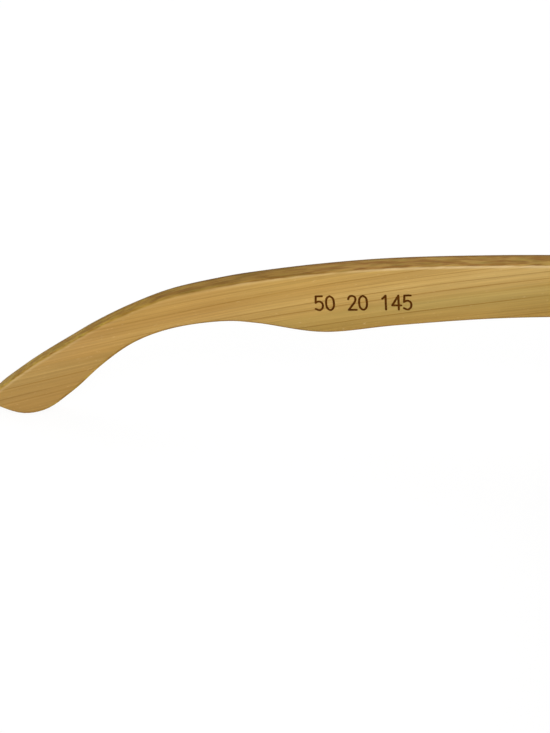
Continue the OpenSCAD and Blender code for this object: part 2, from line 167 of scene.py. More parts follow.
# %% Arm outline
STATIONS = [  # along the arm, height of the upper edge, depth of the wood, in mm
    (0, 5.3, 10.6), (20.12, 5.5, 10.7), (40.24, 5.6, 11.3), (59.7, 5.15, 12.5), (74, 4.15, 12.9),
    (86.77, 2.78, 9.25), (93.9, 1.72, 7.55), (103.7, -0.31, 6.7), (112.1, -3.31, 6.7),
    (119.7, -6.79, 8.45), (126, -10.26, 10.65), (132, -13.65, 11.5), (137.3, -16.96, 9.12),
    (141.8, -20, 4.14),
]
ARM_TIP = (143.7, -22.2)
arm_loop = np.array(
    [(u, top) for u, top, depth in STATIONS] + [ARM_TIP]
    + [(u, top - depth) for u, top, depth in reversed(STATIONS)]
)


def slope_at(points, i):
    return (points[min(i + 1, len(points) - 1)] - points[max(i - 1, 0)]) / 2


def on_curve(points, i, t):
    """Point at t between points i and i + 1 of a smooth curve through all the points."""
    return (
        (2 * t**3 - 3 * t**2 + 1) * points[i] + (t**3 - 2 * t**2 + t) * slope_at(points, i)
        + (3 * t**2 - 2 * t**3) * points[i + 1] + (t**3 - t**2) * slope_at(points, i + 1)
    )


BUTT_GAP, BUTT_HALF, BUTT_CLEAR = 0.12, 5.3, 0.2
BUTT_STEPS = (0, 0.04, 0.1, 0.2, 0.35, 0.6)
ROW_GAP, ROW_LEAST = 1.1, 4
SPARE_ABOVE, SPARE_BELOW = 0.12, 0.35  # sanding takes this off the outline that is seen
SPARE_FADE, ABOVE_ENDS, BELOW_ENDS = 6, 142, 128
TIP_STEPS, TIP_LAST = 16, 0.975
butt_rows = [(BUTT_GAP + step, BUTT_HALF, -BUTT_HALF) for step in BUTT_STEPS]


def arm_rows():
    """Rows of along, upper edge, lower edge, from the butt to the tip."""
    rows, spans = list(butt_rows), len(STATIONS)
    for span in range(spans):
        length = arm_loop[span + 1][0] - arm_loop[span][0]
        at_tip = span == spans - 1
        steps = TIP_STEPS if at_tip else max(ROW_LEAST, round(length / ROW_GAP))
        for t in [*(np.arange(steps) / steps), *([TIP_LAST] if at_tip else [])]:
            upper = on_curve(arm_loop, span, t)
            lower = on_curve(arm_loop, 2 * spans - 1 - span, 1 - t)
            if upper[0] > butt_rows[-1][0] + BUTT_CLEAR:
                rows.append((upper[0], upper[1], lower[1]))
    return np.array(rows)


rows = arm_rows()
rows[:, 1] += SPARE_ABOVE * np.clip((ABOVE_ENDS - rows[:, 0]) / SPARE_FADE, 0, 1)
rows[:, 2] -= SPARE_BELOW * np.clip((BELOW_ENDS - rows[:, 0]) / SPARE_FADE, 0, 1)
print("arm rows:", len(rows), "from", rows[0].round(2), "to", rows[-1].round(2))

# %% [markdown]
# ## The body of an arm
# A plain extrusion has hard edges, and a bevel modifier would make the same edge everywhere. Here
# the distance of each point from the outline sets how far the face falls away. That gives the sanded
# edges their true section: a small round outside, and a wide, shallow one inside, which catches the
# light. The inner face is also a little crowned across, and the arm bends inwards over its rear half.

# %% Arm section
ARM_T = 4.2
PIVOT_INSET, PIVOT_BACK = 1.0, 2.2
BEND_FROM, BEND_R = 50, 640
INNER_ROUND, INNER_FALL, OUTER_ROUND, BUTT_ROUND = 1.0, 0.34, 0.3, 0.25
INNER_CROWN, OUTER_CROWN = 0.15, 0.1
EDGE_STEPS = np.array((0, 0.01, 0.04, 0.09, 0.17, 0.28, 0.45, 0.7, 1.0))
MIDDLE_STEPS = 9


def bend(u):
    """How far the arm has bent towards the head."""
    return BEND_R - np.sqrt(BEND_R**2 - np.maximum(u - BEND_FROM, 0) ** 2)


def across(top, bottom):
    """Heights of the points of one row, close together at both edges."""
    width = top - bottom
    near = EDGE_STEPS * min(1, width / 4)
    middle = np.linspace(near[-1], width - near[-1], MIDDLE_STEPS + 2)[1:-1]
    return top - np.concatenate((near, middle, width - near[::-1]))


def distance_to(points, line):
    """Least distance of each point from a line of many short pieces."""
    start, step = line[:-1], line[1:] - line[:-1]
    length2 = np.maximum((step**2).sum(-1), 1e-12)
    t = np.clip(((points[:, None] - start) * step).sum(-1) / length2, 0, 1)
    return np.linalg.norm(points[:, None] - start - t[..., None] * step, axis=-1).min(1)


def round_off(distance, radius):
    """How far a rounded edge of that radius falls below the flat face."""
    inside = np.clip(radius - distance, 0, radius)
    return radius - np.sqrt(np.maximum(radius**2 - inside**2, 0))


def crown_at(v, top, bottom):
    """0 in the middle of a row and 1 at its edges."""
    return (2 * (v - bottom) / (top - bottom) - 1) ** 2


print("inner edges sanded over", INNER_ROUND, "mm, outer edges over", OUTER_ROUND, "mm")


# %% Arm mesh
def arm_faces():
    """Inner and outer face of the arm as grids of out, along and up."""
    v = np.array([across(top, bottom) for u, top, bottom in rows])
    u, top, bottom = (np.repeat(rows[:, i:i + 1], v.shape[1], 1) for i in range(3))
    outline = np.concatenate((rows[:, [0, 1]], rows[::-1][:, [0, 2]]))
    edge = distance_to(np.stack((u, v), -1).reshape(-1, 2), outline).reshape(u.shape)
    butt = round_off(u - BUTT_GAP, BUTT_ROUND)
    crown = crown_at(v, top, bottom)
    near = PIVOT_INSET - bend(u)
    sanded = round_off(edge, INNER_ROUND) * INNER_FALL / INNER_ROUND
    inner = near + INNER_CROWN * crown + np.maximum(sanded, butt)
    outer = near + ARM_T - OUTER_CROWN * crown - np.maximum(round_off(edge, OUTER_ROUND), butt)
    return np.stack((inner, u - PIVOT_BACK, v), -1), np.stack((outer, u - PIVOT_BACK, v), -1)


def shell(first, second):
    """Closed mesh between two grids of the same shape."""
    n, m = first.shape[:2]
    count = n * m
    index = np.arange(count).reshape(n, m)
    corner = (index[:-1, :-1], index[1:, :-1], index[1:, 1:], index[:-1, 1:])
    quads = np.stack(corner, -1).reshape(-1, 4)
    rim = [*index[:, 0], *index[-1, 1:], *index[-2::-1, -1], *index[0, -2:0:-1]]
    wall = [(a, a + count, b + count, b) for a, b in zip(rim, rim[1:] + rim[:1])]
    points = np.concatenate((first.reshape(-1, 3), second.reshape(-1, 3)))
    return points, [*quads, *(quads[:, ::-1] + count), *wall]


inner_face, outer_face = arm_faces()
arm_points, arm_quads = shell(inner_face, outer_face)
arms = {}
for side in SIGN:
    arms[side] = add_piece(
        f"{side}_wooden_arm", place_points(arm_points, hinges[side]),
        mirror_faces(arm_quads, side), f"{side}_arm", f"{side}_temple")

# %% [markdown]
# ## Room for the hinge in an arm
# The spring housing is let into the inner face, and its leaf ends in a half round. The knuckles turn
# in a round hollow that is open at the butt, long enough for the arm to be pulled 1 mm off the hinge
# against its spring. Both are prisms in the frame of the hinge.

# %% Carve the arms
HOLLOW_R, HOLLOW_LOW, HOLLOW_HIGH = 1.85, -2.6, 3.35
PULL = joints["left_temple_flex"]["range_m"][1] / MM
SLOT_FROM, SLOT_TO, SLOT_HALF, SLOT_DEPTH = 4.15, 23.65, 2.46, 2.3


def half_round(centre, radius, start, steps=24):
    """Half circle, as points of two coordinates, that starts at an angle in degrees."""
    turn = np.radians(start + 180 * np.arange(steps + 1) / steps)
    return [(centre[0] + radius * math.cos(q), centre[1] + radius * math.sin(q)) for q in turn]


hollow = prism(half_round((0, -PULL), HOLLOW_R, 180) + half_round((0, 0), HOLLOW_R, 0),
               HOLLOW_LOW, HOLLOW_HIGH)
slot_end = half_round((SLOT_TO - SLOT_HALF, 0), SLOT_HALF, -90)
slot_room = prism([(SLOT_FROM, -SLOT_HALF), *slot_end, (SLOT_FROM, SLOT_HALF)],
                  -1, SLOT_DEPTH, (1, 2, 0))
for side in SIGN:
    for points, faces in (hollow, slot_room):
        carve(arms[side], place_points(points, hinges[side]), mirror_faces(faces, side))
    print(arms[side].name, "after carving:", len(arms[side].data.polygons), "faces")

# %% [markdown]
# ## The outline of the front
# The front is sawn from a bent board, so its outline is the same from front to back. The CAD solid
# already holds that line as the border of its bent front face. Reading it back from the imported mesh
# keeps wood and solid together; a light blur along the line takes out the short straight steps.

# %% Border of the front face
FRONT_R, FRONT_T, ON_FACE = 240.0, 4.8, 0.01
brow_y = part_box("front_frame")[0].y / MM
wrap_y = brow_y + FRONT_R


def border_of_front_face():
    """Longest border loop of the bent front face, as x and z in millimetres."""
    mesh = frame["nodes"]["front_frame"].data
    points = np.array([v.co for v in mesh.vertices]) / MM
    on_face = np.abs(np.hypot(points[:, 0], points[:, 1] - wrap_y) - FRONT_R) < ON_FACE
    place, merged = {}, []
    for p in points:
        merged.append(place.setdefault(tuple(np.round(p[[0, 2]], 3)), len(place)))
    follows = {}
    for face in mesh.polygons:
        if all(on_face[i] for i in face.vertices):
            ring = [merged[i] for i in face.vertices]
            for a, b in zip(ring, ring[1:] + ring[:1]):
                if follows.get(b) and a in follows[b]:
                    follows[b].remove(a)
                else:
                    follows.setdefault(a, []).append(b)
    where = list(place)
    loops = []
    while any(follows.values()):
        a = next(k for k, v in follows.items() if v)
        loop = []
        while follows.get(a):
            loop.append(where[a])
            a = follows[a].pop()
        loops.append(np.array(loop))
    return max(loops, key=lambda loop: np.ptp(loop[:, 0]))


raw_border = border_of_front_face()
print("border of the front face:", len(raw_border), "corners")


# %% Front outline
def resample(line, gap):
    """The same open line with even steps."""
    along = np.concatenate(([0], np.cumsum(np.linalg.norm(np.diff(line, axis=0), axis=1))))
    steps = np.linspace(0, along[-1], max(2, round(along[-1] / gap)) + 1)
    return np.stack([np.interp(steps, along, line[:, i]) for i in range(2)], -1)


def blur_closed(line, passes):
    for _ in range(passes):
        line = (np.roll(line, 1, 0) + 2 * line + np.roll(line, -1, 0)) / 4
    return line


def half_of(loop):
    """The x > 0 part of a closed loop, from its upper to its lower crossing of x = 0."""
    start = np.flatnonzero((loop[:, 0] <= 0) & (np.roll(loop[:, 0], -1) > 0))[0]
    loop = np.roll(loop, -start, 0)
    stop = np.flatnonzero((loop[:-1, 0] > 0) & (loop[1:, 0] <= 0))[0] + 1
    half = loop[:stop + 1].copy()
    half[0, 0] = half[-1, 0] = 0
    return half if half[0, 1] > half[-1, 1] else half[::-1]


COLUMN_GAP, BORDER_GAP, BORDER_BLUR = 0.8, 0.4, 16
border = resample(np.vstack((raw_border, raw_border[:1])), BORDER_GAP)[:-1]
border = blur_closed(border, BORDER_BLUR)
half_border = resample(half_of(border), COLUMN_GAP)
print("front outline: half line of", len(half_border), "points, x to", half_border[:, 0].max().round(2),
      "z", half_border[:, 1].min().round(2), "to", half_border[:, 1].max().round(2))

# %% [markdown]
# ## The body of the front
# Columns of points run from the lens opening to the outline, aimed at the middle of the lens, so the
# mesh flows round the rim. Over the nose arch they are aimed higher, so that none of them leaves the
# wood, and along the middle of the bridge they end on the mirror plane. As on the arms, the distance
# from each edge rounds the wood: more at the outline, less at the lens.

# %% Lens opening
LENS_W, LENS_H, BRIDGE_W, RIM_BOTTOM = 50, 38, 20, 4.6
LENS_SQUARE, LENS_TAPER, LENS_LIFT = 2.8, 0.09, 1.8
lens_middle = np.array(((BRIDGE_W + LENS_W) / 2, RIM_BOTTOM + LENS_H / 2))


def lens_line(steps=1440):
    """Lens opening of the left side, as x and z."""
    turn = 2 * np.pi * np.arange(steps) / steps
    c, s = (np.sign(f) * np.abs(f) ** (2 / LENS_SQUARE) for f in (np.cos(turn), np.sin(turn)))
    shape = np.stack((LENS_W / 2 * c * (1 + LENS_TAPER * s),
                      LENS_H / 2 * s + LENS_LIFT * c * (1 + s) / 2), -1)
    return lens_middle + shape


opening = lens_line()
print("lens opening from", opening.min(0).round(2), "to", opening.max(0).round(2))

# %% Columns
IN_STEPS = np.array((0, 0.03, 0.1, 0.2, 0.35, 0.55, 0.8))
OUT_STEPS = np.array((0, 0.05, 0.15, 0.32, 0.55, 0.85, 1.2))
COLUMN_MIDDLE, BRIDGE_MIDDLE = 16, 10
HUB_LIFT, HUB_SPAN, HUB_LOW, HUB_HIGH = 8, 9, 31, 42


def turn_and_reach(points):
    return np.arctan2(points[..., 1], points[..., 0]), np.hypot(points[..., 0], points[..., 1])


def column(end):
    """Points from the lens opening to one outer point."""
    near = np.clip(1 - end[0] / HUB_SPAN, 0, 1)
    below = np.clip((HUB_HIGH - end[1]) / (HUB_HIGH - HUB_LOW), 0, 1)
    hub = lens_middle + (0, HUB_LIFT * (near * below))
    way = end - hub
    turn, reach = turn_and_reach(way)
    start = np.interp(turn, *turn_and_reach(opening - hub), period=2 * np.pi)
    length = reach - start
    middle = np.linspace(IN_STEPS[-1], length - OUT_STEPS[-1], COLUMN_MIDDLE + 2)[1:-1]
    steps = start + np.concatenate((IN_STEPS, middle, length - OUT_STEPS[::-1]))
    return hub + steps[:, None] * way / reach


bridge_low, bridge_high = half_border[-1, 1], half_border[0, 1]
bridge_h = bridge_high - bridge_low
bridge_middle = np.linspace(OUT_STEPS[-1], bridge_h - OUT_STEPS[-1], BRIDGE_MIDDLE + 2)[1:-1]
bridge_steps = np.concatenate((OUT_STEPS[1:], bridge_middle, bridge_h - OUT_STEPS[:0:-1]))
ends = np.vstack((half_border, np.stack((0 * bridge_steps, bridge_low + bridge_steps), -1)))
columns = np.array([column(end) for end in ends])
one, two = columns[:, 1:] - columns[:, :-1], np.roll(columns, -1, 0)[:, :-1] - columns[:, :-1]
cells = one[..., 0] * two[..., 1] - one[..., 1] * two[..., 0]
print("columns:", columns.shape, "cells of", -cells.max().round(4), "to", -cells.min().round(3), "mm2")

# %% [markdown]
# ## Depth of the front
# In front, the wood follows the bend of the board. Behind, it follows the same bend until it reaches
# the end pieces, where a lug runs back to meet the arm. Lug and rim are joined by a soft hollow, so
# the change of depth is a smooth greater-of-two instead of a step. Beside the lens the lug follows the
# opening, and with it the lines of the mesh, which keeps its corner clean.

# %% Front and back of the wood
RIM_ROUND, LENS_ROUND, LUG_ROUND = 1.15, 0.6, 0.45
LUG_IN, LUG_LOW, LUG_LAND = -5.4, -6.5, 0.95
LUG_IN_FALL, LUG_LOW_FALL, LUG_LAND_FALL = 0.4, 0.5, 0.18
LUG_SOFT, LUG_HOLLOW = 1.0, 2.0
pitch = math.asin(-joints["left_temple_flex"]["axis"][2])
pivot = hinges["left"].translation / MM


def softer_max(a, b, width):
    near = np.maximum(width - np.abs(a - b), 0) / width
    return np.maximum(a, b) + near**2 * width / 4


def bent_y(x, depth):
    return wrap_y - np.sqrt((FRONT_R - depth) ** 2 - x**2)


def lug_y(x, z, from_lens):
    """Back of the lug behind the left end piece."""
    up = (z - pivot.z) / math.cos(pitch)
    inward = (LUG_IN - (x - pivot.x)) / LUG_IN_FALL
    inward = softer_max(inward, (LUG_LAND - from_lens) / LUG_LAND_FALL, LUG_SOFT)
    below = (LUG_LOW - up) / LUG_LOW_FALL
    back = -PIVOT_BACK - softer_max(softer_max(inward, below, LUG_SOFT), 0 * x, LUG_SOFT)
    return pivot.y + (back + (z - pivot.z) * math.sin(pitch)) / math.cos(pitch)


flat = columns.reshape(-1, 2)
full_border = np.vstack((half_border, half_border[::-1] * (-1, 1)))
from_border = distance_to(flat, full_border)
from_lens = distance_to(flat, np.vstack((opening[::4], opening[:1])))
x, z = flat.T
rim_back, lug_back = bent_y(x, FRONT_T), lug_y(x, z, from_lens)
lugness = np.clip((lug_back - rim_back) / 2, 0, 1)
back_round = RIM_ROUND + (LUG_ROUND - RIM_ROUND) * lugness
inner_fall = round_off(from_lens, LENS_ROUND)
front_y = bent_y(x, 0) + np.maximum(round_off(from_border, RIM_ROUND), inner_fall)
back_fall = np.maximum(round_off(from_border, back_round), inner_fall)
back_y = softer_max(rim_back, lug_back, LUG_HOLLOW) - back_fall
print("depth of wood:", (back_y - front_y).min().round(2), "to", (back_y - front_y).max().round(2))

# %% Front mesh
def front_mesh():
    """Both halves of the front, joined on the mirror plane."""
    n, m = columns.shape[:2]
    half = np.vstack((np.stack((x, front_y, z), -1), np.stack((x, back_y, z), -1)))
    index = np.arange(n * m).reshape(n, m)
    after = np.roll(index, -1, 0)
    grid = np.stack((index[:, :-1], index[:, 1:], after[:, 1:], after[:, :-1]), -1).reshape(-1, 4)
    behind = n * m
    quads = [*grid, *(grid[:, ::-1] + behind)]
    quads += [(a, b, b + behind, a + behind) for a, b in zip(index[:, 0], after[:, 0])]
    outer = index[:len(half_border), -1]
    quads += [(b, a, a + behind, b + behind) for a, b in zip(outer, outer[1:])]
    on_plane = np.abs(half[:, 0]) < 1e-6
    twin = np.where(on_plane, np.arange(len(half)), len(half) + np.cumsum(~on_plane) - 1)
    points = np.vstack((half, half[~on_plane] * (-1, 1, 1)))
    return points, quads + [tuple(twin[list(q)][::-1]) for q in quads]


front_points, front_quads = front_mesh()
wooden_front = add_piece("wooden_front", [tuple(p * MM) for p in front_points], front_quads,
                         "front", "front_frame")

# %% [markdown]
# ## Room for the front hinge leaves
# Each front leaf lies flush in the back of its lug. The recess is a shallow box with a hair of
# clearance, which leaves a fine dark line round the metal, as on the real thing.

# %% Carve the front
LEAF_IN, LEAF_OUT, LEAF_HALF, LEAF_DEEP = -4.26, 0.81, 5.46, 0.96
leaf_room = prism([(LEAF_IN, -PIVOT_BACK - LEAF_DEEP), (LEAF_OUT, -PIVOT_BACK - LEAF_DEEP),
                   (LEAF_OUT, 1), (LEAF_IN, 1)], -LEAF_HALF, LEAF_HALF)
for side in SIGN:
    carve(wooden_front, place_points(leaf_room[0], hinges[side]), mirror_faces(leaf_room[1], side))
print("front after carving:", len(wooden_front.data.polygons), "faces")

# %% [markdown]
# ## Nose pads
# The pads are glued behind the rims and carry the weight on the nose. A capsule would do, but a
# carved pad swells towards its lower end and is a little flatter across, so the rings of a swept
# mesh get their own radius.

# %% Nose pad mesh
PAD_TOP, PAD_TURN, PAD_R = np.array((8.1, 6.4, 27.0)), np.array((2.903, 1.0, -11.643)), 3.2
PAD_RINGS, PAD_SIDES, PAD_FLAT = 34, 40, 0.88
PAD_BLUNT, PAD_SWELL, PAD_TRIM = 0.62, 0.07, 0.15


def tube_faces(rings, sides):
    """Faces of a closed tube whose points stand in rings, one ring after another."""
    faces = []
    for start in range(0, (rings - 1) * sides, sides):
        for k in range(sides):
            a, b = start + k, start + (k + 1) % sides
            faces.append((a, b, b + sides, a + sides))
    last = (rings - 1) * sides
    return faces + [tuple(range(sides - 1, -1, -1)), tuple(range(last, last + sides))]


def pad_mesh():
    """Left pad as rings round the line that it leans along, in mm from the brow."""
    length = np.linalg.norm(PAD_TURN)
    axis = PAD_TURN / length
    wide = np.cross(axis, (0, 1, 0))
    wide /= np.linalg.norm(wide)
    deep = np.cross(wide, axis)
    points = []
    for ring in range(PAD_RINGS):
        q = math.pi * (ring + 0.5) / PAD_RINGS
        way = -math.cos(q)
        radius = PAD_R * math.sin(q) ** PAD_BLUNT * (1 - PAD_SWELL + PAD_SWELL * way)
        centre = PAD_TOP + axis * (length / 2 + way * (length / 2 + PAD_R - PAD_TRIM))
        for k in range(PAD_SIDES):
            turn = 2 * math.pi * k / PAD_SIDES
            points.append(centre + radius * (PAD_FLAT * math.cos(turn) * wide + math.sin(turn) * deep))
    return np.array(points) + (0, brow_y, 0), tube_faces(PAD_RINGS, PAD_SIDES)


pad_points, pad_faces = pad_mesh()
pads = {}
for side, sign in SIGN.items():
    pads[side] = add_piece(
        f"{side}_wooden_pad", [(sign * px * MM, py * MM, pz * MM) for px, py, pz in pad_points],
        mirror_faces(pad_faces, side), "front", f"{side}_nose_pad")

# %% [markdown]
# ## Springs
# Inside each housing a coil spring stands between the guide bush and the nut on the rod, and pulls
# the arm against the front. The wire is swept along a helix, with close turns at both ends, as a
# spring is wound. When the arm is pulled off its hinge, the bush presses the spring against the nut;
# the piece itself rides on the arm and keeps its length.

# %% Coil springs
COIL_FROM, COIL_LEN, COIL_R, WIRE_R = 6.02, 7.1, 0.8, 0.14
TURNS, END_PITCH, TURN_STEPS, WIRE_SIDES = 9, 0.3, 24, 10


def coil_mesh(hand):
    """Spring in the frame of a hinge, as rings of points round its wire."""
    count = TURNS * TURN_STEPS + 1
    turns = np.arange(count) / TURN_STEPS
    rise = COIL_LEN - 2 * WIRE_R
    along = np.interp(turns, (0, 1, TURNS - 1, TURNS), (0, END_PITCH, rise - END_PITCH, rise))
    c, s = np.cos(2 * np.pi * turns), np.sin(2 * np.pi * turns)
    middle = np.stack((hand * COIL_R * c, COIL_FROM + WIRE_R + along, COIL_R * s), -1)
    radial = np.stack((hand * c, 0 * c, s), -1)
    way = np.gradient(middle, axis=0)
    side_way = np.cross(way / np.linalg.norm(way, axis=1)[:, None], radial)
    w = 2 * np.pi * np.arange(WIRE_SIDES) / WIRE_SIDES
    ring = np.cos(w)[:, None] * radial[:, None] + np.sin(w)[:, None] * side_way[:, None]
    points = (middle[:, None] + WIRE_R * ring).reshape(-1, 3)
    return points, tube_faces(count, WIRE_SIDES)


springs = {}
for side, sign in SIGN.items():
    coil_points, coil_faces = coil_mesh(sign)
    springs[side] = add_piece(f"{side}_coil_spring", place_points(coil_points, hinges[side]), coil_faces,
                              f"{side}_arm", f"{side}_flex_spring")
    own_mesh(springs[side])

# %% [markdown]
# ## Burnt size numbers
# The inner side of an arm usually carries the size of the frame in millimetres: lens width, bridge
# and arm length. They are plain strokes, burnt in with a fine beam. Each stroke is a thin closed
# ribbon with round ends that lies on the crowned face, so it follows the wood in any pose.

# %% Digits
DIGITS = {
    "0": [[(0.3, 1), (0.08, 0.84), (0.02, 0.5), (0.08, 0.16), (0.3, 0), (0.52, 0.16), (0.58, 0.5),
           (0.52, 0.84), (0.3, 1)]],
    "1": [[(0.1, 0.78), (0.22, 0.87), (0.34, 1)], [(0.34, 1), (0.34, 0)]],
    "2": [[(0.04, 0.77), (0.12, 0.93), (0.3, 1), (0.5, 0.93), (0.56, 0.75), (0.47, 0.53), (0.04, 0)],
          [(0.04, 0), (0.6, 0)]],
    "4": [[(0.46, 0), (0.46, 1)], [(0.46, 1), (0, 0.3)], [(0, 0.3), (0.64, 0.3)]],
    "5": [[(0.54, 1), (0.1, 1)], [(0.1, 1), (0.06, 0.54)],
          [(0.06, 0.54), (0.2, 0.62), (0.38, 0.62), (0.53, 0.5), (0.57, 0.31), (0.5, 0.12),
           (0.3, 0), (0.03, 0.1)]],
}
print("strokes of each digit:", {digit: len(strokes) for digit, strokes in DIGITS.items()})

# %% Number strokes
STROKE_W, STROKE_H, STROKE_SINK, STROKE_SIDE = 0.42, 0.05, 0.06, 0.4
CAP_TURNS = np.radians((80, 60, 40, 20))
CURVE_STEPS = 6


def inner_face_at(u, v):
    """How far out the inner face of an arm lies at a place on it."""
    top, bottom = (np.interp(u, rows[:, 0], rows[:, i]) for i in (1, 2))
    return PIVOT_INSET - bend(u) + INNER_CROWN * crown_at(v, top, bottom)


def stroke_line(points):
    points = np.array(points, float)
    fine = [on_curve(points, i, t) for i in range(len(points) - 1)
            for t in np.arange(CURVE_STEPS) / CURVE_STEPS]
    return np.array([*fine, points[-1]])


def stroke_mesh(line):
    """A ribbon with round ends over a line of along and up on the inner face."""
    way = np.gradient(line, axis=0)
    way /= np.linalg.norm(way, axis=1)[:, None]
    sides = np.stack((-way[:, 1], way[:, 0]), -1)
    half = STROKE_W / 2
    cap, width = half * np.sin(CAP_TURNS), half * np.cos(CAP_TURNS)
    middles = [*(line[0] - way[0] * c for c in cap), *line, *(line[-1] + way[-1] * c for c in cap[::-1])]
    widths = [*width, *([half] * len(line)), *width[::-1]]
    turned = [*([sides[0]] * len(cap)), *sides, *([sides[-1]] * len(cap))]
    side_lift = -STROKE_H * STROKE_SIDE
    section = ((-1, STROKE_SINK), (-1, side_lift), (0, -STROKE_H), (1, side_lift), (1, STROKE_SINK))
    points = []
    for middle, w, turn in zip(middles, widths, turned):
        for edge, lift in section:
            u, v = middle + edge * w * turn
            points.append((inner_face_at(u, v) + lift, u - PIVOT_BACK, v))
    return points, [(face[0], *face[:0:-1]) for face in tube_faces(len(middles), len(section))]


print("strokes are", STROKE_W, "mm wide")

# %% Number row
NUMBER_ROW = "50 20 145"
ROW_END, ROW_FOOT = 56.6, -3.9
DIGIT_BOX, DIGIT_H, DIGIT_W, DIGIT_STEP = 0.62, 3.1, 1.66, 2.12
number_points, number_faces = [], []
for place, digit in enumerate(reversed(NUMBER_ROW)):
    for stroke in DIGITS.get(digit, []):
        line = stroke_line(stroke)
        start = ROW_END + place * DIGIT_STEP
        spots = np.stack((start + (DIGIT_BOX - line[:, 0]) * DIGIT_W / DIGIT_BOX,
                          ROW_FOOT + line[:, 1] * DIGIT_H), -1)
        points, faces = stroke_mesh(spots)
        number_faces += [tuple(i + len(number_points) for i in face) for face in faces]
        number_points += points
numbers = add_piece("left_size_numbers", place_points(number_points, hinges["left"]), number_faces,
                    "left_arm")

# %% [markdown]
# ## Node helpers
# The finishes are built from a few node kinds. Small helpers keep the cells readable: each one adds
# a node, sets or links its inputs, and gives back the output that the next node needs.

# %% Shader helpers
def feed(tree, value, socket):
    if isinstance(value, bpy.types.NodeSocket):
        tree.links.new(value, socket)
    else:
        socket.default_value = value


def add_node(tree, kind, inputs, out=0, **settings):
    node = tree.nodes.new("ShaderNode" + kind)
    for name, value in settings.items():
        setattr(node, name, value)
    for name, value in inputs.items():
        feed(tree, value, node.inputs[name])
    return node.outputs[out]


def math_node(tree, operation, a, b=0.0):
    return add_node(tree, "Math", {0: a, 1: b}, operation=operation)


def times(tree, a, b):
    return math_node(tree, "MULTIPLY", a, b)


def plus(tree, a, b):
    return math_node(tree, "ADD", a, b)


def minus(tree, a, b):
    return math_node(tree, "SUBTRACT", a, b)


def parts_of(tree, vector):
    """The three numbers of a vector."""
    return add_node(tree, "SeparateXYZ", {0: vector}).node.outputs


def remap(tree, value, low, high, to_low=0.0, to_high=1.0):
    """Smooth step from one range of values to another."""
    return add_node(tree, "MapRange", {0: value, 1: low, 2: high, 3: to_low, 4: to_high},
                    interpolation_type="SMOOTHSTEP")


def mix_colour(tree, factor, a, b, blend="MIX"):
    return add_node(tree, "Mix", {0: factor, 6: a, 7: b}, out=2, data_type="RGBA", blend_type=blend)


def rgb(r, g, b):
    return (r, g, b, 1.0)


print("shader helpers ready")

# %% [markdown]
# ## Texture and group helpers
# Textures are made in millimetres of the piece at rest, so that a grain has its true size on every
# piece and stays with it in any pose. A shared effect is a node group, which each material places with
# its own values before it links what the group gives to its own shader.

# %% Texture helpers
def shrunk(tree, point, size):
    """A point in units of the given size, so that a texture of unit scale gets that size in mm."""
    return add_node(tree, "VectorMath", {0: point, 1: [1 / s for s in size]}, operation="MULTIPLY")


def stretched_noise(tree, point, size, detail=2.0, rough=0.5):
    """Noise whose features have the given length along, across and through the grain, in mm."""
    return add_node(tree, "TexNoise", {"Vector": shrunk(tree, point, size), "Scale": 1.0,
                                       "Detail": detail, "Roughness": rough})


def stretched_cells(tree, point, size):
    """Distance from the middle of the nearest cell, for cells of the given length along each way."""
    return add_node(tree, "TexVoronoi", {"Vector": shrunk(tree, point, size), "Scale": 1.0})


def millimetres(tree):
    """Place on the object at rest, in mm."""
    place = tree.nodes.new("ShaderNodeTexCoord")
    scaled = add_node(tree, "VectorMath", {0: place.outputs["Object"], "Scale": 1000.0},
                      operation="SCALE")
    return scaled, place.outputs["Normal"]


def use_group(tree, group, inputs):
    """Places a node group with its own values and gives back its outputs."""
    node = tree.nodes.new("ShaderNodeGroup")
    node.node_tree = group
    for label, value in inputs.items():
        feed(tree, value, node.inputs[label])
    return node.outputs


def link_finish(tree, shader, made, depth, strength):
    """Links the colour, roughness and height that a group gives to a shader."""
    bump = add_node(tree, "Bump", {"Height": made["Height"], "Distance": depth, "Strength": strength})
    feed(tree, made["Color"], shader["Base Color"])
    feed(tree, made["Roughness"], shader["Roughness"])
    feed(tree, bump, shader["Normal"])


print("texture helpers ready")

# %% [markdown]
# ## Bamboo
# A bamboo board shows long straight fibres: strips of slightly different tone, thin brown lines where
# they meet, fine streaks between, and a few pale flecks. Sawn edges drink more oil, so they are darker,
# and darkest towards the outer side of the board, which is the dense outer skin and painted shade along
# the outer upper edge. There the reddish fibre bundles are cut: Voronoi cells drawn out along the grain
# show as dashes on a slanted cut and as dots on end grain. All of it is stretched along the grain, in one
# group that every wooden finish uses with its own grain, tone and lines. A tint colours its sawn edges,
# one number says how dark the shaded skin is, and one says where a pale highlight is painted on
# upward-facing edges.

# %% Bamboo group
def group_tree(name, inputs, outputs):
    tree = bpy.data.node_groups.new(name, "ShaderNodeTree")
    for in_out, sockets in (("INPUT", inputs), ("OUTPUT", outputs)):
        for label, kind in sockets.items():
            tree.interface.new_socket(name=label, in_out=in_out, socket_type="NodeSocket" + kind)
    return tree, tree.nodes.new("NodeGroupInput").outputs, tree.nodes.new("NodeGroupOutput").inputs


STREAK_DARK, STREAK_PALE = rgb(0.345, 0.185, 0.032), rgb(0.62, 0.41, 0.15)
HONEY, FLECK_PALE = rgb(0.55, 0.33, 0.09), rgb(0.68, 0.48, 0.22)
# The second colour on the next line is the pale of the painted highlight on upward-facing edges.
LINE_BROWN, HIGHLIGHT_PALE = rgb(0.195, 0.085, 0.004), rgb(0.66, 0.47, 0.22)
SAWN_DARK, SAWN_PALE = rgb(0.31, 0.175, 0.036), rgb(0.446, 0.282, 0.069)
DASH_RED, DASH_OLIVE = rgb(0.275, 0.127, 0.029), rgb(0.336, 0.255, 0.051)
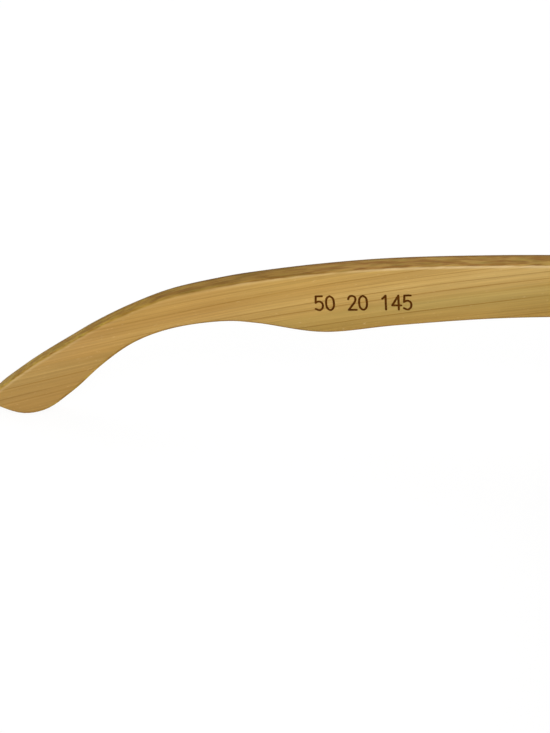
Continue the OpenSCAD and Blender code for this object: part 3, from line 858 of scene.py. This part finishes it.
# The last colour on the next line is the dark of the outer skin, and it also paints shade along the outer
# upper edge.
BUNDLE_RED, SHADED_SKIN_DARK = rgb(0.237, 0.109, 0.027), rgb(0.167, 0.087, 0.019)
# The first two numbers on the next line give how far through the board, in mm, that dark starts and where
# it is full.
SHADED_SKIN_FROM, SHADED_SKIN_TO, SAWN_DULL = 3.0, 4.1, 0.12


def bamboo_group():
    tree, given, result = group_tree(
        "bamboo_fibre", {"Grain Point": "Vector", "Tone": "Color", "Line": "Float", "Cut Edge": "Float",
                         "Edge Tint": "Color", "Skin": "Float", "Painted Highlight": "Float"},
        {"Color": "Color", "Roughness": "Float", "Height": "Float"})
    point, line = given["Grain Point"], given["Line"]
    streak = stretched_noise(tree, point, (60, 0.9, 1.4), 3.0, 0.62)
    fibre = stretched_noise(tree, point, (20, 0.3, 0.4), 2.0, 0.6)
    cloud = stretched_noise(tree, point, (30, 3.5, 5), 2.0)
    fleck = stretched_noise(tree, point, (1.1, 0.32, 0.32), 1.0)
    face = given["Tone"]
    for pattern, low, high, share, colour in (
            (streak, 0.5, 0.78, 0.42, STREAK_DARK), (streak, 0.47, 0.22, 0.3, STREAK_PALE),
            (cloud, 0.4, 0.7, 0.22, HONEY), (fleck, 0.68, 0.8, 0.3, FLECK_PALE)):
        face = mix_colour(tree, remap(tree, pattern, low, high, 0, share), face, colour)
    face = mix_colour(tree, line, face, LINE_BROWN)
    # Painted highlight: a pale colour is mixed in where the wood turns upwards at its upper edge.
    face = mix_colour(tree, given["Painted Highlight"], face, HIGHLIGHT_PALE)

    bundle = stretched_cells(tree, point, (8, 0.48, 0.48))
    dash = stretched_noise(tree, point, (7, 0.8, 0.8), 2.0, 0.55)
    patch = stretched_noise(tree, point, (5, 3, 1.3), 2.0)
    outside = parts_of(tree, point)[2]
    edge = mix_colour(tree, remap(tree, patch, 0.36, 0.64), SAWN_DARK, SAWN_PALE)
    for pattern, low, high, share, colour in (
            (dash, 0.5, 0.65, 0.5, DASH_RED), (dash, 0.47, 0.33, 0.55, DASH_OLIVE),
            (bundle, 0.42, 0.12, 0.7, BUNDLE_RED)):
        edge = mix_colour(tree, remap(tree, pattern, low, high, 0, share), edge, colour)
    # Darker towards the outer side of the board: this is the outer skin of the bamboo, and painted shade
    # along the outer upper edge.
    shaded_skin = times(tree, remap(tree, outside, SHADED_SKIN_FROM, SHADED_SKIN_TO), given["Skin"])
    edge = mix_colour(tree, shaded_skin, edge, SHADED_SKIN_DARK)
    edge = mix_colour(tree, 1.0, edge, given["Edge Tint"], "MULTIPLY")
    colour = mix_colour(tree, given["Cut Edge"], face, edge)
    grey = remap(tree, fibre, 0.25, 0.75, 0.9, 1.08)
    feed(tree, mix_colour(tree, 1.0, colour, grey, "MULTIPLY"), result["Color"])

    rough = remap(tree, fibre, 0.2, 0.8, 0.44, 0.58)
    feed(tree, plus(tree, rough, times(tree, given["Cut Edge"], SAWN_DULL)), result["Roughness"])
    height = minus(tree, times(tree, fibre, 0.5), line)
    bundles = times(tree, remap(tree, bundle, 0.4, 0.15), given["Cut Edge"])
    feed(tree, minus(tree, height, bundles), result["Height"])
    return tree


bamboo = bamboo_group()
print("bamboo group:", len(bamboo.nodes), "nodes")

# %% [markdown]
# ## Strips of the board
# Where no photograph shows the wood, the strips come from a one-dimensional Voronoi texture across
# the grain: each cell is a strip with its own tone, and each cell border is a thin brown line that
# comes and goes. The group serves the front, the pads and the right arm.

# %% Strip group
STRIP_DEEP, STRIP_PALE = rgb(0.43, 0.264, 0.088), rgb(0.54, 0.348, 0.122)
STRIP_SWAY = 1.4


def strip_group():
    tree, given, result = group_tree(
        "bamboo_strips", {"Grain Point": "Vector", "Strip Width": "Float"},
        {"Tone": "Color", "Line": "Float"})
    point, width = given["Grain Point"], given["Strip Width"]
    part = parts_of(tree, point)
    sway = stretched_noise(tree, point, (90, 14, 14), 1.0)
    sway = times(tree, minus(tree, sway, 0.5), STRIP_SWAY)
    over = plus(tree, plus(tree, part[1], sway), part[2])
    lane = math_node(tree, "DIVIDE", over, width)
    cell = add_node(tree, "TexVoronoi", {"W": lane, "Scale": 1.0}, out=1, voronoi_dimensions="1D")
    lot = add_node(tree, "SeparateColor", {0: cell})
    feed(tree, mix_colour(tree, lot, STRIP_DEEP, STRIP_PALE), result["Tone"])
    border_gap = add_node(tree, "TexVoronoi", {"W": lane, "Scale": 1.0}, voronoi_dimensions="1D",
                          feature="DISTANCE_TO_EDGE")
    line = remap(tree, times(tree, border_gap, width), 0.04, 0.15, 1, 0)
    shown = remap(tree, stretched_noise(tree, point, (55, 1.6, 3), 1.0), 0.4, 0.6, 0.1, 0.5)
    feed(tree, times(tree, line, shown), result["Line"])
    return tree


strips = strip_group()
print("strip group:", len(strips.nodes), "nodes")

# %% [markdown]
# ## The run of the grain
# On an arm the grain runs straight through the board, about 14 degrees below the level and turning a
# little steeper towards the tip, so the lines leave through the upper edge towards the hinge. On the
# front it runs across the face, and on the pads it stands upright. The third number of a grain point
# is the way through the board, in mm, and grows towards its outer side. A small shift keeps the strips
# of the left arm at the places that the photograph shows.

# %% Grain directions
GRAIN_DROP, GRAIN_CURVE = math.radians(14.2), 0.00033
GRAIN_SHIFT = (0, 0.078, -0.306)


def arm_grain(tree, place):
    """Along, across and through the grain of an arm."""
    turned = add_node(tree, "Mapping", {"Vector": place, "Rotation": (GRAIN_DROP, 0, 0),
                                        "Location": GRAIN_SHIFT})
    part = parts_of(tree, turned)
    square = times(tree, part[1], part[1])
    over = plus(tree, part[2], times(tree, square, GRAIN_CURVE))
    back = minus(tree, parts_of(tree, place)[1], pivot.y - PIVOT_BACK + BEND_FROM)
    bent = math_node(tree, "POWER", math_node(tree, "MAXIMUM", back, 0.0), 2.0)
    bent = times(tree, bent, 0.5 / BEND_R)
    out = plus(tree, math_node(tree, "ABSOLUTE", part[0]), bent)
    through = minus(tree, out, pivot.x + PIVOT_INSET)
    return add_node(tree, "CombineXYZ", {0: part[1], 1: over, 2: through})


def front_grain(tree, place):
    part = parts_of(tree, place)
    square = times(tree, part[0], part[0])
    sag = times(tree, square, 0.5 / FRONT_R)
    through = minus(tree, plus(tree, sag, brow_y + FRONT_T), part[1])
    return add_node(tree, "CombineXYZ", {0: part[0], 1: part[2], 2: through})


def pad_grain(tree, place):
    part = parts_of(tree, place)
    through = minus(tree, brow_y + FRONT_T, part[1])
    return add_node(tree, "CombineXYZ", {0: part[2], 1: part[0], 2: through})


print("grain of the arms drops by", round(math.degrees(GRAIN_DROP), 1), "degrees")

# %% [markdown]
# ## The board of the left arm
# The photograph shows this board, so its strips are set one by one: a ramp across the grain gives each
# strip its tone, deeper below and paler above, and a second ramp sets the few brown lines. Ramps along
# the grain turn the wood to a deeper honey colour towards the ear, where the strips also grow more alike,
# tint the sawn edge, weaken the lines in the middle and set the painted highlight on the upper edge.

# %% Left board
BOARD_SPAN, ALONG_SPAN = (18.0, 42.0), (-40.0, 72.0)
BOARD_TONES = {20: (0.4, 0.234, 0.053), 22.4: (0.398, 0.24, 0.059), 24.6: (0.394, 0.252, 0.066),
               27.8: (0.457, 0.32, 0.097), 29.6: (0.5, 0.322, 0.1), 31.4: (0.585, 0.392, 0.133),
               34: (0.51, 0.319, 0.096), 36: (0.552, 0.357, 0.109), 40: (0.576, 0.376, 0.127)}
BOARD_LINES = {22.6: 0.42, 23.8: 0.38, 26.0: 0.66, 28.4: 0.14, 29.75: 0.6, 31.2: 0.62, 32.4: 0.24,
               33.1: 0.3, 34.6: 0.5, 36.5: 0.44}
LINE_HALF, BOARD_SWAY = 0.14, 0.9
FACE_TINTS = {-27: (1, 1, 1), 5.4: (0.905, 0.858, 0.76), 14: (0.866, 0.822, 0.728),
              26: (0.838, 0.76, 0.665), 42: (0.863, 0.785, 0.678), 53: (0.876, 0.79, 0.743),
              65: (0.838, 0.782, 0.788)}
EDGE_TINTS = {-22: (0.888, 0.857, 0.935), -4: (0.868, 0.807, 0.872), 10: (0.694, 0.629, 0.567),
              30: (0.743, 0.691, 0.612), 42: (0.876, 0.832, 0.604), 53: (1, 0.99, 0.783),
              63: (0.99, 1, 0.83)}
LINE_SHARES = {20: 1.0, 36: 0.8, 56: 0.7, 66: 1.0}
EAR_FROM, EAR_TO, EAR_SHARE, EAR_TONE = 28, 50, 0.55, rgb(0.475, 0.305, 0.0935)
# How strong the painted highlight on the upper edge is, along the arm.
HIGHLIGHT_SHARES = {-30: 1.0, -12: 0.95, 0: 0.3, 14: 0.45, 26: 0.12, 48: 0.12, 66: 0.4}


def ramp_over(tree, value, span, stops):
    """Ramp over a span of millimetres, from places with a colour or a plain share each."""
    low, high = span
    ramp = tree.nodes.new("ShaderNodeValToRGB")
    elements = ramp.color_ramp.elements
    while len(elements) < len(stops):
        elements.new(1.0)
    for element, (mm, stop) in zip(elements, stops.items()):
        element.position = (mm - low) / (high - low)
        element.color = rgb(*stop) if isinstance(stop, tuple) else rgb(stop, stop, stop)
    feed(tree, add_node(tree, "MapRange", {0: value, 1: low, 2: high}), ramp.inputs[0])
    return ramp.outputs[0]


def left_board(tree, point):
    part = parts_of(tree, point)
    sway = stretched_noise(tree, point, (60, 6, 8), 1.0)
    sway = times(tree, minus(tree, sway, 0.5), BOARD_SWAY)
    over = plus(tree, part[1], sway)
    lines = {}
    for mm, strength in BOARD_LINES.items():
        lines.update({mm - LINE_HALF: 0.0, mm: strength, mm + LINE_HALF: 0.0})
    face_tint, edge_tint, highlight_share, line_share = (
        ramp_over(tree, part[0], ALONG_SPAN, stops)
        for stops in (FACE_TINTS, EDGE_TINTS, HIGHLIGHT_SHARES, LINE_SHARES))
    fade = remap(tree, stretched_noise(tree, point, (40, 1.2, 3), 1.0), 0.3, 0.6, 0.35, 1.1)
    line = times(tree, ramp_over(tree, over, BOARD_SPAN, lines), times(tree, fade, line_share))
    tone = ramp_over(tree, over, BOARD_SPAN, BOARD_TONES)
    tone = mix_colour(tree, remap(tree, part[0], EAR_FROM, EAR_TO, 0, EAR_SHARE), tone, EAR_TONE)
    tone = mix_colour(tree, 1.0, tone, face_tint, "MULTIPLY")
    return {"Tone": tone, "Line": line, "Painted Highlight": highlight_share, "Skin": 1.0, "Edge Tint": edge_tint}


print("left board:", len(BOARD_TONES), "tones and", len(BOARD_LINES), "lines")

# %% Strip boards
# The second number on the next line is the strength of the painted highlight on upward-facing edges.
# The third number on the next line says how dark the outer side is: outer skin and painted shade.
PLAIN_EDGE, PLAIN_HIGHLIGHT, PLAIN_SHADED_SKIN = rgb(0.82, 0.79, 0.88), 0.4, 0.55


def strip_board(width, edge_tints=None):
    """Board of repeated strips; tints along the grain may colour its sawn edges."""
    def board(tree, point):
        lanes = use_group(tree, strips, {"Grain Point": point, "Strip Width": width})
        tint = PLAIN_EDGE
        if edge_tints:
            tint = ramp_over(tree, parts_of(tree, point)[0], ALONG_SPAN, edge_tints)
        return {"Tone": lanes["Tone"], "Line": lanes["Line"], "Painted Highlight": PLAIN_HIGHLIGHT, "Skin": PLAIN_SHADED_SKIN,
                "Edge Tint": tint}
    return board


print("strip boards: painted edge highlight", PLAIN_HIGHLIGHT, "and skin", PLAIN_SHADED_SKIN)

# %% [markdown]
# ## Wooden finishes
# Each wooden piece gets its grain, its board and the bamboo group in one material. The mask of the sawn
# edges comes from the direction of the surface: a face that looks squarely along its axis shows the
# board, and one that turns away shows the cut. A slightly uneven mask gives the edge its sanded look.

# %% Wooden finishes
BUMP_DEPTH, BUMP_STRENGTH, WOOD_GLOSS = 0.00004, 0.6, 0.05
FLAT_EDGE, ROUND_EDGE = (0.975, 0.89), (0.93, 0.6)  # how square to its axis an edge starts and ends
# The last two numbers on the next line say how far a face turns upwards where the painted highlight
# starts and where it is full.
UNEVEN, HIGHLIGHT_FROM, HIGHLIGHT_TO = 0.015, 0.08, 0.22
ARM_STRIP, FRONT_STRIP, PAD_STRIP = 2.6, 2.9, 2.2


def new_material(name):
    material = bpy.data.materials.new(name)
    material.use_nodes = True
    return material, material.node_tree, material.node_tree.nodes["Principled BSDF"].inputs


def wooden_finish(name, grain, board, face_axis, edge_range):
    """Bamboo with a grain, a board, the axis that its faces look along and where its edges start."""
    material, tree, shader = new_material(name)
    place, normal = millimetres(tree)
    direction = parts_of(tree, normal)
    facing = math_node(tree, "ABSOLUTE", direction[face_axis])
    point = grain(tree, place)
    look = board(tree, point)
    uneven = stretched_noise(tree, point, (3.5, 0.6, 0.6), 2.0)
    facing = plus(tree, facing, remap(tree, uneven, 0.25, 0.75, -UNEVEN, UNEVEN))
    # Painted highlight: faces that turn upwards at the edges get a paler colour, as if lit from above.
    upward = remap(tree, direction[2], HIGHLIGHT_FROM, HIGHLIGHT_TO)
    highlight_mask = times(tree, upward, remap(tree, uneven, 0.2, 0.6, 0.5, 1))
    look["Painted Highlight"] = times(tree, highlight_mask, look["Painted Highlight"])
    look["Cut Edge"] = remap(tree, facing, *edge_range)
    wood = use_group(tree, bamboo, {"Grain Point": point, **look})
    link_finish(tree, shader, wood, BUMP_DEPTH, BUMP_STRENGTH)
    shader["Specular IOR Level"].default_value = WOOD_GLOSS
    return material


boards = {"left": left_board, "right": strip_board(ARM_STRIP, EDGE_TINTS)}
front_wood = wooden_finish("front_bamboo", front_grain, strip_board(FRONT_STRIP), 1, ROUND_EDGE)
pad_wood = wooden_finish("pad_bamboo", pad_grain, strip_board(PAD_STRIP), 1, ROUND_EDGE)
for side in SIGN:
    arm_wood = wooden_finish(f"{side}_arm_bamboo", arm_grain, boards[side], 0, FLAT_EDGE)
    arms[side].data.materials.append(arm_wood)
    pads[side].data.materials.append(pad_wood)
wooden_front.data.materials.append(front_wood)
print("wooden finishes:", [arm.data.materials[0].name for arm in arms.values()], front_wood.name,
      pad_wood.name)

# %% [markdown]
# ## Burnt strokes
# A beam leaves the wood charred: a deep reddish brown, dull, and uneven along the fibres.

# %% Burnt finish
CHAR_DARK, CHAR_BROWN, CHAR_GLOSS = rgb(0.062, 0.018, 0.001), rgb(0.115, 0.037, 0.003), 0.02
burnt, burnt_tree, burnt_shader = new_material("burnt_bamboo")
burnt_place, _ = millimetres(burnt_tree)
char = stretched_noise(burnt_tree, arm_grain(burnt_tree, burnt_place), (1.6, 0.25, 0.25), 2.0)
char_colour = mix_colour(burnt_tree, remap(burnt_tree, char, 0.35, 0.7), CHAR_DARK, CHAR_BROWN)
feed(burnt_tree, char_colour, burnt_shader["Base Color"])
feed(burnt_tree, remap(burnt_tree, char, 0.3, 0.7, 0.6, 0.8), burnt_shader["Roughness"])
burnt_shader["Specular IOR Level"].default_value = CHAR_GLOSS
numbers.data.materials.append(burnt)
print("burnt finish on", numbers.name)

# %% [markdown]
# ## Metal
# The hinge leaves, housings and sliders are brushed brass with a satin face, and the screws, nuts
# and springs are steel. Both share one group: fine brush lines in one direction, with handling marks
# that change the gloss. The metal itself is set on each shader.

# %% Metal group
def brushed_group():
    tree, given, result = group_tree(
        "brushed_metal", {"Point": "Vector", "Bright": "Color", "Dull": "Color"},
        {"Color": "Color", "Roughness": "Float", "Height": "Float"})
    brush = stretched_noise(tree, given["Point"], (0.05, 1.8, 0.07), 2.0, 0.6)
    touch = stretched_noise(tree, given["Point"], (1.6, 1.6, 1.6), 3.0, 0.6)
    tone = times(tree, plus(tree, brush, touch), 0.5)
    feed(tree, mix_colour(tree, remap(tree, tone, 0.35, 0.65), given["Dull"], given["Bright"]),
         result["Color"])
    rough = remap(tree, brush, 0.2, 0.8, 0.22, 0.38)
    feed(tree, plus(tree, rough, remap(tree, touch, 0.5, 0.75, 0, 0.12)), result["Roughness"])
    feed(tree, brush, result["Height"])
    return tree


brushed = brushed_group()
BRUSH_DEPTH, BRUSH_STRENGTH = 0.00001, 0.4


def metal_finish(name, bright, dull):
    material, tree, shader = new_material(name)
    place, _ = millimetres(tree)
    metal = use_group(tree, brushed, {"Point": place, "Bright": bright, "Dull": dull})
    link_finish(tree, shader, metal, BRUSH_DEPTH, BRUSH_STRENGTH)
    shader["Metallic"].default_value = 1.0
    return material


print("brushed group:", len(brushed.nodes), "nodes")

# %% [markdown]
# ## Metal nodes
# The CAD nodes of the hinges keep their solids. A weld joins their split edges, and a narrow bevel
# breaks the sharp ones, because an edge without any round catches no light and looks drawn.

# %% Dress the metal
brass = metal_finish("satin_brass", rgb(0.80, 0.60, 0.30), rgb(0.58, 0.41, 0.19))
steel = metal_finish("screw_steel", rgb(0.66, 0.65, 0.63), rgb(0.45, 0.44, 0.43))
BRASS = ("front_hinge_leaf", "hinge_slider", "spring_bush", "spring_housing")
STEEL = ("front_leaf_screws", "hinge_screw", "rod_nut", "housing_screws")


def dress(node, material):
    """Gives a CAD node one finish."""
    piece = frame["nodes"][node]
    piece.data.materials.clear()
    piece.data.materials.append(material)


EDGE_W, EDGE_ANGLE, WELD_GAP = 0.00006, math.radians(35), 1e-7


def break_edges(node):
    """Breaks the sharp edges of a metal node, so that they catch the light."""
    piece = frame["nodes"][node]
    piece.modifiers.new("join", "WELD").merge_threshold = WELD_GAP
    soft = piece.modifiers.new("break_edges", "BEVEL")
    soft.width, soft.segments = EDGE_W, 2
    soft.limit_method, soft.angle_limit = "ANGLE", EDGE_ANGLE
    soft.harden_normals = True


for side in SIGN:
    for names, finish in ((BRASS, brass), (STEEL, steel)):
        for name in names:
            dress(f"{side}_{name}", finish)
            break_edges(f"{side}_{name}")
    springs[side].data.materials.append(steel)
print("metal finishes on", 2 * (len(BRASS) + len(STEEL)), "nodes")

# %% [markdown]
# ## Lenses
# A lens is a bent sheet of smoke-grey plastic, a little darker at the brow. Glass shading with a dark
# base colour tints whatever is seen through it. Faint wiping marks change the gloss, which keeps the
# sheet from looking unreal.

# %% Lens finish
SMOKE_PALE, SMOKE_DARK = rgb(0.17, 0.152, 0.135), rgb(0.062, 0.056, 0.052)
TINT_FOOT, TINT_BROW, LENS_IOR = 2.0, 46.0, 1.5
lens, lens_tree, lens_shader = new_material("smoke_lens")
lens_place, _ = millimetres(lens_tree)
wipe = stretched_noise(lens_tree, lens_place, (9, 9, 3.5), 3.0, 0.6)
darker = remap(lens_tree, parts_of(lens_tree, lens_place)[2], TINT_FOOT, TINT_BROW)
feed(lens_tree, mix_colour(lens_tree, darker, SMOKE_PALE, SMOKE_DARK), lens_shader["Base Color"])
feed(lens_tree, remap(lens_tree, wipe, 0.45, 0.75, 0.015, 0.06), lens_shader["Roughness"])
lens_shader["Transmission Weight"].default_value = 1.0
lens_shader["IOR"].default_value = LENS_IOR
for side in SIGN:
    dress(f"{side}_lens", lens)
print("lens finish:", lens.name)

# %% [markdown]
# ## Floor and light
# The photograph has a plain white ground. The floor shows mostly plain white to the camera and to
# reflections, and takes a share of real light near the object, which keeps a faint shadow. A large soft
# lamp stands on the camera's side, low enough that the faces are brighter than the sawn upper edges.

# %% Floor
FLOOR_HALF, FLOOR_DROP = 8.0, 0.00005
SHADOW_NEAR, SHADOW_FAR, GLOW_NEAR, GLOW = 160, 700, 0.9, 1.02
floor = add_object("floor", [(sx * FLOOR_HALF, sy * FLOOR_HALF, -FLOOR_DROP)
                             for sx, sy in ((-1, -1), (1, -1), (1, 1), (-1, 1))], [(0, 1, 2, 3)])


def seen_ray(tree):
    """1 for the camera, reflections and what is seen through a lens, 0 for light on the object."""
    path = tree.nodes.new("ShaderNodeLightPath").outputs
    seen = math_node(tree, "MAXIMUM", path["Is Camera Ray"], path["Is Glossy Ray"])
    return math_node(tree, "MAXIMUM", seen, path["Is Transmission Ray"])


paper, paper_tree, paper_shader = new_material("white_paper")
paper_place, _ = millimetres(paper_tree)
tooth = stretched_noise(paper_tree, paper_place, (40, 40, 40))
feed(paper_tree, remap(paper_tree, tooth, 0.3, 0.7, 0.88, 0.9), paper_shader["Roughness"])
paper_shader["Base Color"].default_value = rgb(0.92, 0.92, 0.92)
glow = add_node(paper_tree, "Emission", {"Color": rgb(1, 1, 1), "Strength": GLOW})
from_middle = add_node(paper_tree, "VectorMath", {0: paper_place}, out=1, operation="LENGTH")
glow_share = remap(paper_tree, from_middle, SHADOW_NEAR, SHADOW_FAR, GLOW_NEAR, 1)
glow_share = times(paper_tree, seen_ray(paper_tree), glow_share)
lit_paper = paper_shader["Base Color"].node.outputs[0]
paper_mix = add_node(paper_tree, "MixShader", {0: glow_share, 1: lit_paper, 2: glow})
paper_tree.links.new(paper_mix, paper_tree.nodes["Material Output"].inputs["Surface"])
floor.data.materials.append(paper)
print("floor of", 2 * FLOOR_HALF, "m")

# %% Light
AMBIENT = 0.42
world = bpy.data.worlds.new("studio")
bpy.context.scene.world = world
world.use_nodes = True
sky = world.node_tree
dim = times(sky, minus(sky, 1.0, seen_ray(sky)), AMBIENT - 1)
feed(sky, plus(sky, dim, 1.0), sky.nodes["Background"].inputs["Strength"])
sky.nodes["Background"].inputs["Color"].default_value = rgb(1, 1, 1)

aim = Vector((66.8, 20.978, 13.336)) * MM


def soft_lamp(name, azimuth, elevation, distance, size, watts):
    """Square lamp that looks at the object; azimuth 0 stands at -X and 90 at -Y."""
    a, e = math.radians(azimuth), math.radians(elevation)
    back = Vector((-math.cos(a) * math.cos(e), -math.sin(a) * math.cos(e), math.sin(e)))
    lamp = bpy.data.objects.new(name, bpy.data.lights.new(name, "AREA"))
    lamp.data.size, lamp.data.energy = size, watts
    lamp.location = aim + back * distance
    lamp.rotation_mode = "QUATERNION"
    lamp.rotation_quaternion = (-back).to_track_quat("-Z", "Y")
    bpy.context.scene.collection.objects.link(lamp)


LAMPS = {  # azimuth and elevation in degrees, distance and size in m, power in W
    "key": (24, 37, 0.9, 0.55, 5.0), "front_fill": (95, 35, 1.1, 0.7, 3.0),
    "far_fill": (235, 45, 1.2, 0.8, 3.6)}
for name, setting in LAMPS.items():
    soft_lamp(name, *setting)
print("lamps:", list(LAMPS))

# %% [markdown]
# ## Camera
# The camera looks at the inner side of the left arm from above, as close as the photograph was
# taken. Direction, distance and focal length come from a fit of the arm's edges to the photograph.

# %% Camera
VIEW_DOWN, VIEW_TURN, VIEW_DISTANCE = math.radians(33.5), math.radians(8.93), 0.25612
FOCAL_PX, LONG_SIDE_PX = 1277.1, 733
look = Vector((math.cos(VIEW_DOWN) * math.cos(VIEW_TURN), math.cos(VIEW_DOWN) * math.sin(VIEW_TURN),
               -math.sin(VIEW_DOWN)))
camera = bpy.data.objects.new("camera", bpy.data.cameras.new("camera"))
camera.data.lens = camera.data.sensor_width * FOCAL_PX / LONG_SIDE_PX
camera.data.clip_start, camera.data.clip_end = 0.01, 10
camera.location = aim - look * VIEW_DISTANCE
camera.rotation_mode = "QUATERNION"
camera.rotation_quaternion = look.to_track_quat("-Z", "Y")
bpy.context.scene.collection.objects.link(camera)
bpy.context.scene.camera = camera
bpy.context.scene.view_settings.view_transform = "Standard"
print("camera at", [round(v / MM, 1) for v in camera.location], "lens", round(camera.data.lens, 2))
